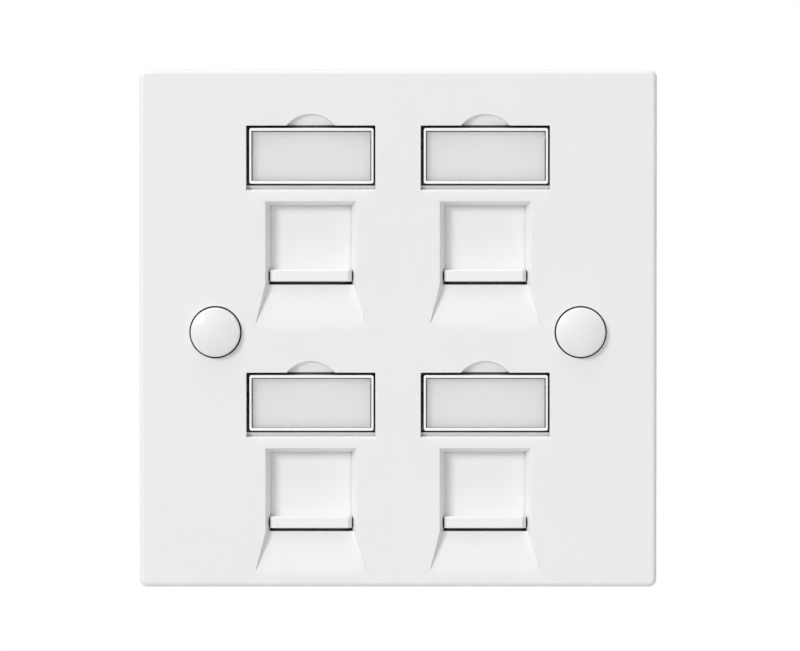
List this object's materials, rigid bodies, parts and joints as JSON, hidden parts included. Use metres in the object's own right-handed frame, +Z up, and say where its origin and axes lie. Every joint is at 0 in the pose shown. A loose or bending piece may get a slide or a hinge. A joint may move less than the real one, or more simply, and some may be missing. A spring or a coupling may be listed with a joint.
{
  "type": "keystone faceplate",
  "caption": "Square wall plate with spring-shuttered keystone jack ports in rows, clear snap-in label windows above them and domed caps over its mounting screws.",
  "frame": {"origin": "the middle of the plate's rim, in the wall plane", "axes": "+X to the right and +Z up as seen from the room, +Y into the wall"},
  "size_m": [0.086, 0.0314, 0.086],
  "materials": {
    "plate_abs": "white ABS, fine satin moulding",
    "shutter_abs": "white ABS, satin moulding",
    "carrier_abs": "white ABS, plain moulding",
    "window_clear": "clear polycarbonate, polished",
    "card_paper": "uncoated white card",
    "cap_abs": "white ABS, polished",
    "spring_steel": "drawn spring wire",
    "screw_zinc": "zinc plated steel"
  },
  "bodies": {
    "plate": {"front_plate": "plate_abs", "jack_carrier_upper_left": "carrier_abs", "jack_carrier_upper_right": "carrier_abs", "jack_carrier_lower_left": "carrier_abs", "jack_carrier_lower_right": "carrier_abs", "shutter_spring_upper_left": "spring_steel", "shutter_spring_upper_right": "spring_steel", "shutter_spring_lower_left": "spring_steel", "shutter_spring_lower_right": "spring_steel", "label_card_upper_left": "card_paper", "label_card_upper_right": "card_paper", "label_card_lower_left": "card_paper", "label_card_lower_right": "card_paper", "mounting_screw_left": "screw_zinc", "mounting_screw_right": "screw_zinc"},
    "shutter_upper_left": {"shutter_upper_left": "shutter_abs"},
    "shutter_upper_right": {"shutter_upper_right": "shutter_abs"},
    "shutter_lower_left": {"shutter_lower_left": "shutter_abs"},
    "shutter_lower_right": {"shutter_lower_right": "shutter_abs"},
    "label_window_upper_left": {"label_window_upper_left": "window_clear"},
    "label_window_upper_right": {"label_window_upper_right": "window_clear"},
    "label_window_lower_left": {"label_window_lower_left": "window_clear"},
    "label_window_lower_right": {"label_window_lower_right": "window_clear"},
    "screw_cap_left": {"screw_cap_left": "cap_abs"},
    "screw_cap_right": {"screw_cap_right": "cap_abs"}
  },
  "joints": [
    {"name": "shutter_upper_left_lift", "type": "slide", "parent": "plate", "child": "shutter_upper_left", "axis": [0, 0, 1], "range_m": [0, 0.0104], "stiffness_N_per_m": 60, "springref_m": -0.004, "deforming": ["shutter_spring_upper_left"]},
    {"name": "shutter_upper_right_lift", "type": "slide", "parent": "plate", "child": "shutter_upper_right", "axis": [0, 0, 1], "range_m": [0, 0.0104], "stiffness_N_per_m": 60, "springref_m": -0.004, "deforming": ["shutter_spring_upper_right"]},
    {"name": "shutter_lower_left_lift", "type": "slide", "parent": "plate", "child": "shutter_lower_left", "axis": [0, 0, 1], "range_m": [0, 0.0104], "stiffness_N_per_m": 60, "springref_m": -0.004, "deforming": ["shutter_spring_lower_left"]},
    {"name": "shutter_lower_right_lift", "type": "slide", "parent": "plate", "child": "shutter_lower_right", "axis": [0, 0, 1], "range_m": [0, 0.0104], "stiffness_N_per_m": 60, "springref_m": -0.004, "deforming": ["shutter_spring_lower_right"]},
    {"name": "label_window_upper_left_pull_off", "type": "slide", "parent": "plate", "child": "label_window_upper_left", "axis": [0, -1, 0], "range_m": [0, 0.006]},
    {"name": "label_window_upper_right_pull_off", "type": "slide", "parent": "plate", "child": "label_window_upper_right", "axis": [0, -1, 0], "range_m": [0, 0.006]},
    {"name": "label_window_lower_left_pull_off", "type": "slide", "parent": "plate", "child": "label_window_lower_left", "axis": [0, -1, 0], "range_m": [0, 0.006]},
    {"name": "label_window_lower_right_pull_off", "type": "slide", "parent": "plate", "child": "label_window_lower_right", "axis": [0, -1, 0], "range_m": [0, 0.006]},
    {"name": "screw_cap_left_pull_off", "type": "slide", "parent": "plate", "child": "screw_cap_left", "axis": [0, -1, 0], "range_m": [0, 0.009]},
    {"name": "screw_cap_right_pull_off", "type": "slide", "parent": "plate", "child": "screw_cap_right", "axis": [0, -1, 0], "range_m": [0, 0.009]}
  ]
}
